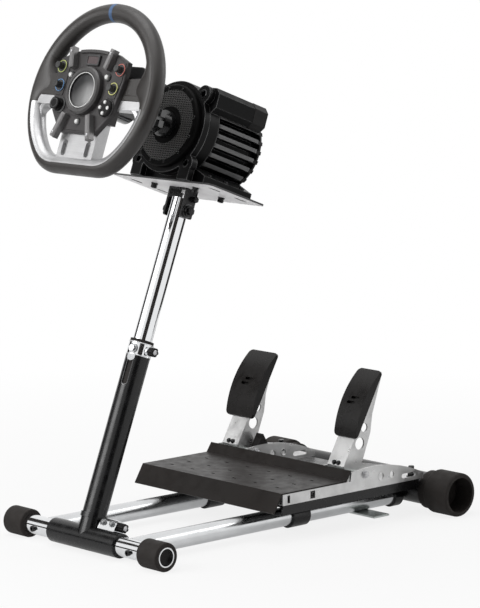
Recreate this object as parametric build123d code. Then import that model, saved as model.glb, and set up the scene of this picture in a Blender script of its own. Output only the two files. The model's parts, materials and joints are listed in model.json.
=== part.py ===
from build123d import *
import os
from math import sqrt

# A folding steering wheel stand: a two-rail floor frame, a leaning telescopic stem, a tilting
# plate with a direct-drive wheel base and wheel, and a two-pedal set that slides on the rails.
# Millimetres. X is to the driver's right, Y runs from the driver to the pedals, Z is up.

# Fits
fit_gap = 0.1
running_gap = 0.4
pin_gap = 0.2

# Floor frame
tube_diameter = 32.0
tube_wall = 2.0
crossbar_length = 382.0
rail_spacing = 206.0
wheelbase = 631.0
foot_flat = 0.5
front_foot_diameter = 47.0
front_foot_length = 47.0
front_foot_round = 3.0
plug_depth = 9.0
plug_thickness = 6.0
rear_tube_diameter = 56.0
rear_tube_wall = 2.5
rear_width = 466.0
rear_foot_diameter = 75.0
rear_foot_length = 53.0
rear_foot_round = 4.0
rear_foot_mouth = 60.0
rear_foot_mouth_depth = 38.0
rear_foot_web = 4.0
rear_collar_diameter = 66.0
rear_collar_length = 20.0
socket_diameter = 40.0
socket_length = 18.0
strip_width = 36.0
strip_thickness = 3.0
strip_reach = 54.0
strip_tail = 30.0
strip_place = 518.0
strip_hole = 7.0

# Stem
stem_lean = 21.0
sleeve_diameter = 40.0
sleeve_length = 164.0
neck_ring_diameter = 44.0
neck_ring_height = 8.0
neck_ring_place = 36.0
lower_tube_diameter = 40.0
upper_tube_diameter = 32.0
upper_tube_wall = 2.0
lower_tube_top = 304.0
upper_tube_foot = 205.0
slot_width = 9.0
slot_length = 50.0
slot_count = 2
slot_turn = -74.0
neck_diameter = 36.5
collar_diameter = 41.0
collar_height = 22.0
boss_diameter = 13.0
boss_reach = 5.0
slit_width = 2.5
seal_height = 5.0
seal_diameter = 39.0
knob_diameter = 15.0
knob_length = 12.0
knob_lobes = 6
knob_lobe_diameter = 5.0
foot_clamp_gap = 0.5
foot_clamp_width = 40.0
foot_clamp_turn = 32.0
foot_lug_height = 18.0
foot_lug_depth = 20.0
foot_lug_round = 6.0

# Tilt head
pivot_reach = 553.0
head_tilt = 20.0
pivot_pin_diameter = 10.0
pivot_head_diameter = 18.0
pivot_head_height = 6.0
tube_top_above_pivot = 19.0
cheek_gap = 2.0
cheek_thickness = 4.0
cheek_width = 25.0
cheek_drop = 12.0
cheek_round = 3.0
bridge_thickness = 4.0
plate_height = 36.0
plate_width = 240.0
plate_depth = 128.0
plate_thickness = 3.0
plate_overhang = 55.0
plate_corner = 8.0
plate_hole = 6.5
plate_hole_spacing_x = 100.0
plate_hole_spacing_y = 60.0
plate_slot_length = 26.0
plate_slot_spacing = 190.0

# Wheel base
drum_diameter = 154.0
base_foot_web = 8.0
drum_bore = 104.0
drum_front = -50.0
drum_length = 114.0
fin_pitch = 16.0
fin_groove = 10.0
fin_rows = 8
top_fin_rows = 4
fin_core = 118.0
fin_land = 22.0
post_width = 30.0
post_height = 41.0
post_spacing = 132.0
post_rise = 52.0
post_cut = 9.0
base_foot_width = 176.0
base_foot_waist = 104.0
base_foot_edge = 14.0
base_foot_length = 110.0
base_foot_start = -43.0
front_flange_thickness = 12.0
flange_ring_diameter = 154.0
flange_lug_diameter = 30.0
flange_lug_hole = 11.0
flange_lug_spacing_x = 114.0
flange_lug_spacing_z = 116.0
flange_leg_width = 24.0
cover_diameter = 138.0
cover_thickness = 10.0
cover_round = 4.0
cover_rim = 5.0
cover_dish = 2.0
cover_boss_diameter = 62.0
rear_cover_diameter = 142.0
rear_cover_thickness = 16.0
rear_disc = 6.0
vent_slot_length = 70.0
vent_slot_width = 5.0
vent_slot_count = 7
vent_slot_pitch = 12.0
vent_slot_depth = 4.0
shaft_diameter = 44.0
shaft_nose_diameter = 30.0
barrel_diameter = 50.0
barrel_length = 28.0
barrel_round = 9.0
barrel_place = 38.0
latch_reach = 26.0
latch_spacing = 17.0
latch_size = (8.0, 11.0, 10.0)

# Steering wheel
wheel_reach = 232.0
rim_radius = 136.0
rim_tube = 30.0
rim_flat = 117.0
rim_corner = 62.0
spoke_depth = 22.0
spoke_height = 20.0
spoke_level = -12.0
trim_corner = 22.0
spoke_cover_root = 27.0
spoke_cover_tip = 34.0
spoke_cover_depth = 18.0
bottom_spoke_width = 86.0
bottom_slot_width = 12.0
bottom_slot_length = 26.0
bottom_slot_spacing = 56.0
bottom_slot_level = -91.0
hub_width = 164.0
hub_top = 64.0
hub_top_width = 104.0
hub_top_rise = 5.0
hub_shoulder = (52.0, 20.0)
hub_waist_width = 146.0
hub_waist_level = -34.0
hub_foot_width = 88.0
hub_bottom = -68.0
core_width = 110.0
core_height = 92.0
hub_front = 20.0
hub_back = 10.0
hub_round = 3.0
bezel_diameter = 78.0
bezel_height = 11.0
cap_diameter = 58.0
cap_dome = 5.0
rotary_diameter = 17.0
rotary_height = 13.0
rotary_base = 3.0
rotary_grip = 9.0
rotary_upper = (71.0, 38.0)
rotary_lower = (65.0, 7.0)
rib_width = 10.0
rib_height = 12.0
rib_cut = 2.0
rib_upper_outer = (50.0, 69.0)
rib_upper_inner = (41.0, 36.0)
rib_lower_outer = (44.0, -79.0)
rib_lower_inner = (29.0, -39.0)
button_diameter = 8.0
button_height = 6.0
button_round = 2.0
button_places = ((-44.0, 25.0), (44.0, 25.0), (0.0, -50.0))
dpad_place = (60.0, -25.0)
dpad_diameter = 28.0
dpad_height = 7.0
joystick_place = (-55.0, -25.0)
joystick_diameter = 20.0
joystick_stem = 8.0
joystick_height = 13.0
joystick_cap = 5.0
display_place = (0.0, 51.0)
display_width = 26.0
display_height = 13.0
display_thickness = 3.0
release_diameter = 52.0
paddle_reach = 84.0
paddle_root = 42.0
paddle_height = 38.0
paddle_level = 36.0
paddle_round = 9.0
paddle_thickness = 6.0
paddle_gap = 6.0
paddle_pin_diameter = 5.0

# Pedal set
tray_width = 344.0
tray_rear = 592.0
tray_top = 62.0
sheet = 3.0
tray_flange = 16.0
clip_diameter = 40.0
clip_length = 38.0
clip_place = 364.0
clip_saddle_width = 24.0
heel_front = 249.0
heel_top = 83.0
heel_drop = 52.0
heel_bend = 268.0
heel_rear = 416.0
lip_rear = 427.0
lip_top = 99.0
heel_sheet = 2.5
heel_slot_length = 9.0
heel_slot_width = 3.5
heel_slot_pitch = 52.0
heel_slot_columns = 6
heel_slot_rows = (0.2, 0.46, 0.74)
bracket_width = 80.0
bracket_tail_gap = 6.0
bracket_peak = 95.0
bracket_shoulder = 490.0
bracket_crown = (515.0, 97.0)
bracket_tail = 72.0
bracket_hole_level = 79.0
bracket_holes = ((500.0, 13.0), (526.0, 11.0))
bracket_slot_place = 567.0
bracket_slot_level = 72.0
bracket_slot_length = 34.0
bracket_slot_width = 8.0
bracket_window_place = 339.0
bracket_window_width = 11.0
bracket_window_height = 13.0
bracket_notch_place = 284.0
bracket_notch_width = 6.0
pedal_pivot_place = 461.0
pedal_pivot_height = 88.0
pedal_pin_diameter = 8.0
pedal_lean = 29.5
arm_width = 39.0
arm_sheet = 3.0
arm_front = 21.5
arm_root_radius = 12.0
arm_top = 173.0
arm_top_depth = 6.0
arm_knee = (105.0, 18.5)
arm_hip = (76.0, 30.0)
arm_thigh = (26.0, 37.0)
arm_holes = ((77.0, -9.0, 15.0), (49.0, -5.5, 21.0))
arm_foot_slot_level = 16.0
arm_foot_slot_length = 14.0
arm_foot_slot_width = 6.0
pad_start = 51.0
pad_length = 124.0
pad_thickness = 17.0
pad_crown = 13.0
pad_round = 7.0
pad_slot_length = 18.0
pad_slot_width = 5.0
pad_slot_pitch = 9.0
pad_slot_depth = 6.0
pad_slot_shift = 3.0
brake_offset = -8.0
brake_pad_width = 68.0
throttle_offset = -11.0
throttle_pad_width = 52.0
stop_width = 17.0
stop_length = 26.0
stop_height = 22.0
stop_place = 480.0

# Worked out from the sizes above
front_axis = front_foot_diameter / 2 - foot_flat
rear_axis = rear_foot_diameter / 2 - foot_flat
rail_radius = tube_diameter / 2
rail_end = wheelbase - sqrt((rear_tube_diameter / 2) ** 2 - (rear_axis - front_axis) ** 2)
neck_top = lower_tube_top + collar_height
clamp_reach = (sleeve_diameter + foot_lug_height) / 2
foot_clamp_place = (neck_ring_diameter + foot_clamp_width) / 2 + foot_clamp_gap
bracket_spacing = tray_width - bracket_width
brake_place = brake_offset - bracket_spacing / 2
throttle_place = throttle_offset + bracket_spacing / 2
tail_drop = tray_top - rear_axis
bracket_rear = wheelbase - sqrt((rear_collar_diameter / 2) ** 2 - tail_drop ** 2) - bracket_tail_gap
sleeve_bore = tube_diameter + 2 * running_gap
lower_bore = upper_tube_diameter + 2 * running_gap
tray_front = heel_bend + heel_sheet
collar_middle = lower_tube_top + collar_height / 2
cheek_inner = upper_tube_diameter / 2 + cheek_gap
cheek_outer = cheek_inner + cheek_thickness
plate_top = plate_height + plate_thickness
axis_height = plate_top + base_foot_web + drum_diameter / 2
drum_rear = drum_front + drum_length
flange_front = drum_front - front_flange_thickness
cover_front = flange_front - cover_thickness
side_view = Plane.YZ.location
stem_frame = Pos(0, 0, front_axis) * Rot(-stem_lean, 0, 0)
head_frame = stem_frame * Pos(0, 0, pivot_reach) * Rot(stem_lean - head_tilt, 0, 0)
base_frame = head_frame * Pos(0, 0, axis_height)
wheel_frame = base_frame * Pos(0, -wheel_reach, 0)
face_frame = wheel_frame * Rot(90, 0, 0)


def rod_x(diameter, length):
    return Rot(0, 90, 0) * Cylinder(diameter / 2, length)


def rod_y(diameter, length):
    return Rot(90, 0, 0) * Cylinder(diameter / 2, length)


def ring_z(outer, inner, height):
    return Cylinder(outer / 2, height) - Cylinder(inner / 2, height)


def box_between(low, high):
    size = [b - a for a, b in zip(low, high)]
    middle = [(a + b) / 2 for a, b in zip(low, high)]
    return Pos(*middle) * Box(*size)


def on_face(x, z, height):
    """A place on the hub's face, with Z out of it, for a piece of this height."""
    return face_frame * Pos(x, z, hub_front + height / 2)


# Floor frame pieces

def cut_flat(foot):
    """The rubber sits on the floor on a narrow flat."""
    reach = rear_width + wheelbase
    return foot - box_between((-reach, -reach, -reach), (reach, reach, 0))


def front_crossbar():
    tube = rod_x(tube_diameter, crossbar_length) - rod_x(tube_diameter - 2 * tube_wall, crossbar_length)
    return Pos(0, 0, front_axis) * tube


def front_foot(side):
    sleeve = rod_x(front_foot_diameter, front_foot_length)
    sleeve = fillet(sleeve.edges(), front_foot_round)
    sleeve -= rod_x(tube_diameter + 2 * fit_gap, front_foot_length)
    place = side * (crossbar_length - front_foot_length) / 2
    return cut_flat(Pos(place, 0, front_axis) * sleeve)


def rail(side):
    tube = rod_y(tube_diameter, rail_end) - rod_y(tube_diameter - 2 * tube_wall, rail_end)
    tube = Pos(side * rail_spacing / 2, rail_end / 2, front_axis) * tube
    tube -= Pos(0, 0, front_axis) * rod_x(tube_diameter + 2 * fit_gap, crossbar_length)
    return tube - Pos(0, wheelbase, rear_axis) * rod_x(rear_tube_diameter + 2 * fit_gap, rear_width)


def rail_socket(side):
    socket = rod_y(socket_diameter, socket_length) - rod_y(tube_diameter + 2 * fit_gap, socket_length)
    socket = Pos(side * rail_spacing / 2, rail_end - socket_length / 2, front_axis) * socket
    return socket - Pos(0, wheelbase, rear_axis) * rod_x(rear_tube_diameter + 2 * fit_gap, rear_width)


def rear_crossbar():
    length = rear_width - 2 * (rear_foot_mouth_depth + rear_foot_web + fit_gap)
    tube = rod_x(rear_tube_diameter, length) - rod_x(rear_tube_diameter - 2 * rear_tube_wall, length)
    return Pos(0, wheelbase, rear_axis) * tube


def crossbar_plugs():
    """Black discs that close the front crossbar's ends, a little inside them."""
    place = crossbar_length / 2 - plug_depth
    plugs = []
    for side in (-1, 1):
        disc = rod_x(tube_diameter - 2 * tube_wall - 2 * fit_gap, plug_thickness)
        plugs.append(Pos(side * place, 0, front_axis) * disc)
    return Compound(plugs)


def rear_foot(side):
    """A rubber cap over the crossbar's end, with a round mouth and a collar towards the middle."""
    foot = fillet(Cylinder(rear_foot_diameter / 2, rear_foot_length).edges(), rear_foot_round)
    collar = Cylinder(rear_collar_diameter / 2, rear_collar_length)
    foot += Pos(0, 0, -(rear_foot_length + rear_collar_length) / 2 + rear_foot_round) * collar
    socket_end = rear_foot_length / 2 - rear_foot_mouth_depth - rear_foot_web
    socket = Cylinder(rear_tube_diameter / 2 + fit_gap, rear_foot_length + rear_collar_length)
    foot -= Pos(0, 0, socket_end - (rear_foot_length + rear_collar_length) / 2) * socket
    mouth_place = (rear_foot_length - rear_foot_mouth_depth) / 2
    foot -= Pos(0, 0, mouth_place) * Cylinder(rear_foot_mouth / 2, rear_foot_mouth_depth)
    place = side * (rear_width - rear_foot_length) / 2
    return cut_flat(Pos(place, wheelbase, rear_axis) * Rot(0, side * 90, 0) * foot)


def shifter_strip():
    length = strip_reach + strip_tail
    strip = Box(length, strip_width, strip_thickness)
    strip -= Pos((length - strip_width) / 2, 0, 0) * Cylinder(strip_hole / 2, strip_thickness)
    place = rail_spacing / 2 + (strip_reach - strip_tail) / 2
    return Pos(place, strip_place, front_axis - rail_radius - strip_thickness / 2) * strip


# Stem pieces

def lower_stem():
    """The black tube with its cross sleeve, a ring at its root, and a slit neck inside the collar."""
    stem = Pos(0, 0, lower_tube_top / 2) * Cylinder(lower_tube_diameter / 2, lower_tube_top)
    stem += Pos(0, 0, neck_top / 2) * Cylinder(neck_diameter / 2, neck_top)
    stem += Pos(0, 0, neck_ring_place) * Cylinder(neck_ring_diameter / 2, neck_ring_height)
    stem += rod_x(sleeve_diameter, sleeve_length)
    bore_length = neck_top - sleeve_diameter / 2
    stem -= Pos(0, 0, neck_top - bore_length / 2) * Cylinder(lower_bore / 2, bore_length)
    stem -= rod_x(sleeve_bore, sleeve_length)
    straight = slot_length - slot_width / 2
    slot = Box(lower_tube_diameter, slot_width, straight)
    slot += Pos(0, 0, -straight / 2) * rod_x(slot_width, lower_tube_diameter)
    for place in PolarLocations(lower_tube_diameter / 2, slot_count, slot_turn):
        stem -= Pos(0, 0, lower_tube_top - straight / 2) * place * slot
    return stem_frame * stem


def stem_collar():
    """The clamp ring round the slit neck, with a boss for its knob."""
    collar = Cylinder(collar_diameter / 2, collar_height)
    boss_length = collar_diameter / 2 + boss_reach
    collar += Pos(boss_length / 2, 0, 0) * rod_x(boss_diameter, boss_length)
    collar -= Cylinder(neck_diameter / 2 + fit_gap, collar_height)
    return stem_frame * Pos(0, 0, collar_middle) * collar


def collar_seal():
    ring = ring_z(seal_diameter, lower_bore, seal_height)
    return stem_frame * Pos(0, 0, neck_top + seal_height / 2) * ring


def knob():
    """A lobed hand knob along Z, standing on Z 0."""
    shape = Pos(0, 0, knob_length / 2) * Cylinder(knob_diameter / 2, knob_length)
    flutes = PolarLocations(knob_diameter / 2 + knob_lobe_diameter / 4, knob_lobes)
    for place in flutes:
        shape -= place * Pos(0, 0, knob_length / 2) * Cylinder(knob_lobe_diameter / 2, knob_length)
    return shape


def collar_knob():
    start = collar_diameter / 2 + boss_reach
    return stem_frame * Pos(start, 0, collar_middle) * Rot(0, 90, 0) * knob()


def clamp_frame():
    """Behind and above the cross sleeve, with Z pointing away from it."""
    return Pos(foot_clamp_place, 0, front_axis) * Rot(-foot_clamp_turn, 0, 0)


def foot_clamp():
    """A split block on the cross sleeve's back that pinches it on the crossbar."""
    top = sleeve_diameter / 2 + foot_lug_height
    block = box_between((-foot_clamp_width / 2, -foot_lug_depth / 2, 0),
                        (foot_clamp_width / 2, foot_lug_depth / 2, top))
    block = fillet(block.edges().filter_by(Axis.X).group_by(Axis.Z)[-1], foot_lug_round)
    block -= box_between((-foot_clamp_width / 2, -slit_width / 2, clamp_reach),
                         (foot_clamp_width / 2, slit_width / 2, top))
    block -= rod_x(sleeve_diameter + 2 * fit_gap, foot_clamp_width)
    return clamp_frame() * block


def foot_clamp_knob():
    return clamp_frame() * Pos(foot_clamp_width / 2, 0, clamp_reach) * Rot(0, 90, 0) * knob()


def upper_stem():
    top = pivot_reach + tube_top_above_pivot
    length = top - upper_tube_foot
    inner = upper_tube_diameter - 2 * upper_tube_wall
    tube = Pos(0, 0, upper_tube_foot + length / 2) * ring_z(upper_tube_diameter, inner, length)
    tube -= Pos(0, 0, pivot_reach) * rod_x(pivot_pin_diameter + 2 * pin_gap, upper_tube_diameter)
    return stem_frame * tube


# Tilt head pieces

def tilt_bracket():
    """Two square-ended cheeks under a bridge, which hold the stem's top between them."""
    bracket = box_between((-cheek_outer, -cheek_width / 2, plate_height - bridge_thickness),
                          (cheek_outer, cheek_width / 2, plate_height))
    for side in (-1, 1):
        low_x, high_x = sorted((side * cheek_inner, side * cheek_outer))
        cheek = box_between((low_x, -cheek_width / 2, -cheek_drop), (high_x, cheek_width / 2, plate_height))
        bracket += fillet(cheek.edges().filter_by(Axis.X).group_by(Axis.Z)[0], cheek_round)
    bracket -= rod_x(pivot_pin_diameter + 2 * fit_gap, 3 * cheek_outer)
    return head_frame * bracket


def tilt_bolt():
    bolt = rod_x(pivot_pin_diameter, 2 * cheek_outer)
    for side in (-1, 1):
        place = side * (cheek_outer + pivot_head_height / 2)
        bolt += Pos(place, 0, 0) * rod_x(pivot_head_diameter, pivot_head_height)
    return head_frame * bolt


def wheel_plate():
    plate = Box(plate_width, plate_depth, plate_thickness)
    plate = fillet(plate.edges().filter_by(Axis.Z), plate_corner)
    for place in GridLocations(plate_hole_spacing_x, plate_hole_spacing_y, 2, 2):
        plate -= place * Cylinder(plate_hole / 2, plate_thickness)
    slot = extrude(SlotOverall(plate_slot_length, plate_hole, 90), plate_thickness, both=True)
    for place in GridLocations(plate_slot_spacing, plate_hole_spacing_y, 2, 2):
        plate -= place * slot
    middle = plate_depth / 2 - plate_overhang
    return head_frame * Pos(0, middle, plate_height + plate_thickness / 2) * plate


# Wheel base pieces

def finned_section(diameter):
    """A round section with level grooves in its sides and upright ones in its top."""
    section = Circle(diameter / 2)
    first = -(fin_rows - 1) / 2 * fin_pitch
    for row in range(fin_rows):
        section -= Pos(0, first + row * fin_pitch) * Rectangle(diameter, fin_groove)
    first = -(top_fin_rows - 1) / 2 * fin_pitch
    for row in range(top_fin_rows):
        section -= Pos(first + row * fin_pitch, diameter / 2) * Rectangle(fin_groove, diameter)
    return section + Circle(fin_core / 2)


def base_housing():
    """The finned drum with a plain land behind the flange and two posts along its shoulders."""
    body = extrude(finned_section(drum_diameter), drum_length)
    land = Pos(0, 0, drum_length - fin_land) * extrude(Circle(drum_diameter / 2), fin_land)
    body += land
    for side in (-1, 1):
        outline = chamfer(Rectangle(post_width, post_height).vertices(), post_cut)
        body += Pos(side * post_spacing / 2, post_rise, 0) * extrude(outline, drum_length)
    body -= extrude(Circle(drum_bore / 2), drum_length)
    return base_frame * Pos(0, drum_rear, 0) * Rot(90, 0, 0) * body


def base_foot():
    low = plate_top - axis_height
    half = base_foot_width / 2
    waist = base_foot_waist / 2
    shoulder = -sqrt((drum_diameter / 2) ** 2 - waist ** 2)
    outline = Polyline((-half, low), (half, low), (half, low + base_foot_edge), (waist, shoulder),
                       (-waist, shoulder), (-half, low + base_foot_edge), close=True)
    foot = extrude(make_face(outline), base_foot_length)
    foot -= Cylinder(drum_diameter / 2 + fit_gap, 3 * base_foot_length)
    start = base_foot_start + base_foot_length
    return base_frame * Pos(0, start, 0) * Rot(90, 0, 0) * foot


def front_flange():
    """A ring with four lugs, of which the lower two stand on the plate."""
    low = plate_top - axis_height
    leg_top = -flange_lug_spacing_z / 2
    outline = Circle(flange_ring_diameter / 2)
    for place in GridLocations(flange_lug_spacing_x, flange_lug_spacing_z, 2, 2):
        outline += place * Circle(flange_lug_diameter / 2)
    for side in (-1, 1):
        leg = Rectangle(flange_leg_width, leg_top - low)
        outline += Pos(side * flange_lug_spacing_x / 2, (leg_top + low) / 2) * leg
    for place in GridLocations(flange_lug_spacing_x, flange_lug_spacing_z, 2, 2):
        outline -= place * Circle(flange_lug_hole / 2)
    outline -= Circle(shaft_diameter / 2 + running_gap)
    flange = extrude(outline, front_flange_thickness)
    return base_frame * Pos(0, drum_front, 0) * Rot(90, 0, 0) * flange


def front_cover():
    """A round cover with a raised rim and boss round the dished ring that is pierced for air."""
    cover = Cylinder(cover_diameter / 2, cover_thickness)
    cover = fillet(cover.edges().group_by(Axis.Z)[-1], cover_round)
    dish = ring_z(cover_diameter - 2 * (cover_round + cover_rim), cover_boss_diameter, cover_dish)
    cover -= Pos(0, 0, (cover_thickness - cover_dish) / 2) * dish
    cover -= Cylinder(shaft_diameter / 2 + running_gap, cover_thickness)
    return base_frame * Pos(0, flange_front - cover_thickness / 2, 0) * Rot(90, 0, 0) * cover


def rear_cover():
    """A finned end piece, closed by a disc with level vent slots."""
    cover = extrude(finned_section(rear_cover_diameter), rear_cover_thickness)
    disc = fillet(Cylinder(rear_cover_diameter / 2, rear_disc).edges().group_by(Axis.Z)[0], cover_round)
    cover += Pos(0, 0, rear_disc / 2) * disc
    vents = extrude(SlotOverall(vent_slot_length, vent_slot_width), vent_slot_depth)
    first = -(vent_slot_count - 1) / 2 * vent_slot_pitch
    for row in range(vent_slot_count):
        cover -= Pos(0, first + row * vent_slot_pitch, 0) * vents
    end = drum_rear + rear_cover_thickness
    return base_frame * Pos(0, end, 0) * Rot(90, 0, 0) * cover


def release_length():
    return (wheel_reach + cover_front - hub_back) / 2


def drive_shaft():
    """The motor shaft, from the drum's cavity to the quick release, with a latch barrel round it."""
    nose = wheel_reach + cover_front - hub_back - release_length()
    length = 2 * cover_thickness + front_flange_thickness
    shaft = Pos(0, 0, -front_flange_thickness / 2) * Cylinder(shaft_diameter / 2, length)
    tip = Pos(0, 0, nose / 2) * Cylinder(shaft_nose_diameter / 2, nose)
    barrel = fillet(Cylinder(barrel_diameter / 2, barrel_length).edges(), barrel_round)
    for place in GridLocations(2 * latch_reach, latch_spacing, 2, 2):
        barrel += place * Box(*latch_size)
    barrel = Pos(0, 0, barrel_place) * barrel
    return base_frame * Pos(0, cover_front, 0) * Rot(90, 0, 0) * (shaft + tip + barrel)


# Steering wheel pieces

def d_outline(radius, flat, corner):
    """A closed D: a circle with its bottom cut flat and round corners, as a face."""
    across = sqrt((radius - corner) ** 2 - (flat - corner) ** 2)
    scale = radius / (radius - corner)
    touch = (across * scale, -(flat - corner) * scale)
    lower = Vector(across, -flat)
    turn = Vector(across, -(flat - corner))
    toward = (Vector(*touch) - turn).normalized() + Vector(0, -1)
    bend = turn + toward.normalized() * corner
    arcs = [ThreePointArc(lower, bend, touch)]
    arcs.append(ThreePointArc(touch, (0, radius), (-touch[0], touch[1])))
    arcs.append(ThreePointArc((-touch[0], touch[1]), (-bend.X, bend.Y), (-lower.X, lower.Y)))
    arcs.append(Line((-lower.X, lower.Y), lower))
    return Wire(arcs)


def rim_tube_solid(gap):
    path = d_outline(rim_radius, rim_flat, rim_corner)
    start = Plane(origin=path @ 0, z_dir=path % 0)
    return sweep(start * Circle(rim_tube / 2 + gap), path=path)


def inside_rim():
    return make_face(d_outline(rim_radius, rim_flat, rim_corner))


def trim_face(gap):
    """The space inside the rim's centre line, over its lower part, where the frame shows."""
    reach = 2 * rim_radius
    top = spoke_level + spoke_height / 2 + gap
    band = inside_rim() & Pos(0, top - reach / 2) * Rectangle(reach, reach)
    return fillet(band.vertices().group_by(Axis.Y)[-1], trim_corner)


def trim_band(gap):
    return extrude(trim_face(gap), rim_tube, both=True)


def spoke_section():
    side_spokes = Pos(0, spoke_level) * Rectangle(2 * rim_radius, spoke_height)
    bottom_spoke = Pos(0, -rim_flat / 2) * Rectangle(bottom_spoke_width, rim_flat)
    section = (side_spokes + bottom_spoke) & trim_face(0)
    for side in (-1, 1):
        place = Pos(side * bottom_slot_spacing / 2, bottom_slot_level)
        section -= place * SlotOverall(bottom_slot_length, bottom_slot_width, 90)
    return section - Rectangle(core_width, core_height)


def wheel_trim():
    frame = rim_tube_solid(0) & trim_band(0)
    spokes = extrude(spoke_section(), spoke_depth / 2, both=True)
    return face_frame * (frame + spokes)


def wheel_rim():
    return face_frame * (rim_tube_solid(0) - trim_band(fit_gap))


def spoke_covers():
    """Dark mouldings over the side spokes, from the hub's core to the grip."""
    grip = rim_tube_solid(fit_gap)
    low = spoke_level + spoke_height / 2 + fit_gap
    root = core_width / 2 + fit_gap
    middle = (spoke_depth - spoke_cover_depth) / 2 - fit_gap
    covers = []
    for side in (-1, 1):
        outline = Polyline((side * root, low), (side * rim_radius, low),
                           (side * rim_radius, low + spoke_cover_tip),
                           (side * root, low + spoke_cover_root), close=True)
        cover = extrude(make_face(outline) & inside_rim(), spoke_cover_depth / 2, both=True)
        covers.append(face_frame * (Pos(0, 0, middle) * cover - grip))
    return Compound(covers)


def hub_outline():
    """The hub from the driver's side: an arched top, broad shoulders and a narrower foot."""
    upper, lower = hub_shoulder
    right = [(hub_top_width / 2, hub_top), (hub_width / 2, upper), (hub_width / 2, lower),
             (hub_waist_width / 2, hub_waist_level), (hub_foot_width / 2, hub_bottom)]
    left = [(-x, z) for x, z in reversed(right)]
    sides = Polyline(*right, *left)
    arch = ThreePointArc(left[-1], (0, hub_top + hub_top_rise), right[0])
    return make_face([sides, arch])


def hub_plate():
    hub = extrude(hub_outline(), hub_front - spoke_depth / 2)
    hub = fillet(hub.faces().sort_by(Axis.Z)[-1].edges(), hub_round)
    core = Rectangle(core_width - 2 * fit_gap, core_height - 2 * fit_gap)
    core = extrude(core, spoke_depth / 2 + hub_back)
    return face_frame * Pos(0, 0, spoke_depth / 2) * (hub + Rot(180, 0, 0) * core)


def cap_bezel():
    bezel = ring_z(bezel_diameter, cap_diameter + 2 * fit_gap, bezel_height)
    bezel = chamfer(bezel.edges().group_by(Axis.Z)[-1], bezel_height / 4)
    return on_face(0, 0, bezel_height) * bezel


def centre_cap():
    ball = ((cap_diameter / 2) ** 2 + cap_dome ** 2) / (2 * cap_dome)
    cap = Cylinder(cap_diameter / 2, bezel_height)
    dome = Pos(0, 0, bezel_height / 2 - ball) * Sphere(ball)
    return on_face(0, 0, bezel_height) * (cap & dome)


def rotary_knobs():
    knobs = []
    for x, z in (rotary_upper, rotary_lower):
        for side in (-1, 1):
            base = Cylinder(rotary_diameter / 2, rotary_base)
            grip = Pos(0, 0, (rotary_height - rotary_base) / 2) * Cylinder(rotary_grip / 2, rotary_height)
            knobs.append(on_face(side * x, z, rotary_base) * (base + grip))
    return Compound(knobs)


def hub_ribs():
    ribs = []
    for outer, inner in ((rib_upper_outer, rib_upper_inner), (rib_lower_outer, rib_lower_inner)):
        for side in (-1, 1):
            a = Vector(side * outer[0], outer[1])
            b = Vector(side * inner[0], inner[1])
            run = b - a
            middle = (a + b) / 2
            angle = Vector(1, 0, 0).get_signed_angle(run, Vector(0, 0, 1))
            bar = Box(run.length, rib_width, rib_height)
            bar = chamfer(bar.edges().group_by(Axis.Z)[-1], rib_cut)
            ribs.append(on_face(middle.X, middle.Y, rib_height) * Rot(0, 0, angle) * bar)
    return Compound(ribs)


def hub_buttons():
    buttons = []
    for x, z in button_places:
        button = Cylinder(button_diameter / 2, button_height)
        button = fillet(button.edges().group_by(Axis.Z)[-1], button_round)
        buttons.append(on_face(x, z, button_height) * button)
    return Compound(buttons)


def direction_pad():
    pad = Cylinder(dpad_diameter / 2, dpad_height)
    pad = chamfer(pad.edges().group_by(Axis.Z)[-1], dpad_height / 4)
    return on_face(*dpad_place, dpad_height) * pad


def joystick():
    skirt = Cone(joystick_diameter / 2, joystick_stem / 2, joystick_height)
    crown = Cylinder(joystick_diameter / 2, joystick_cap)
    crown = Pos(0, 0, (joystick_height - joystick_cap) / 2) * crown
    return on_face(*joystick_place, joystick_height) * (skirt + crown)


def display():
    return on_face(*display_place, display_thickness) * Box(display_width, display_height, display_thickness)


def quick_release():
    length = release_length()
    body = Cylinder(release_diameter / 2, length)
    body = chamfer(body.edges().group_by(Axis.Z)[0], length / 6)
    return face_frame * Pos(0, 0, -hub_back - length / 2) * body


def paddle(side):
    reach = paddle_reach - paddle_root
    blade = Box(reach, paddle_height, paddle_thickness)
    blade = fillet(blade.edges().filter_by(Axis.Z).group_by(Axis.X)[-1], paddle_round)
    back = hub_back + paddle_gap + paddle_thickness / 2
    arm = Pos(side * (paddle_root + reach / 2), paddle_level, -back)
    turned = blade if side > 0 else Rot(0, 0, 180) * blade
    return face_frame * arm * turned


def paddle_mount():
    """Two posts behind the hub that carry the shift paddles."""
    posts = []
    for side in (-1, 1):
        height = paddle_gap - running_gap
        post = Cylinder(paddle_pin_diameter, height)
        place = Pos(side * (paddle_root + paddle_pin_diameter), paddle_level, -hub_back - height / 2)
        posts.append(face_frame * place * post)
    return Compound(posts)


# Pedal set pieces

def pedal_tray():
    half = tray_width / 2
    tray = box_between((-half, tray_front, tray_top - sheet), (half, tray_rear, tray_top))
    for side in (-1, 1):
        inner = side * (half - sheet)
        low_x, high_x = sorted((inner, side * half))
        tray += box_between((low_x, tray_front, tray_top - tray_flange), (high_x, tray_rear, tray_top))
    return tray


def rail_clip(side):
    saddle = box_between((-clip_saddle_width / 2, -clip_length / 2, 0),
                         (clip_saddle_width / 2, clip_length / 2, tray_top - sheet - front_axis))
    clip = rod_y(clip_diameter, clip_length) + saddle
    clip -= rod_y(tube_diameter + 2 * running_gap, clip_length)
    return Pos(side * rail_spacing / 2, clip_place, front_axis) * clip


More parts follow.
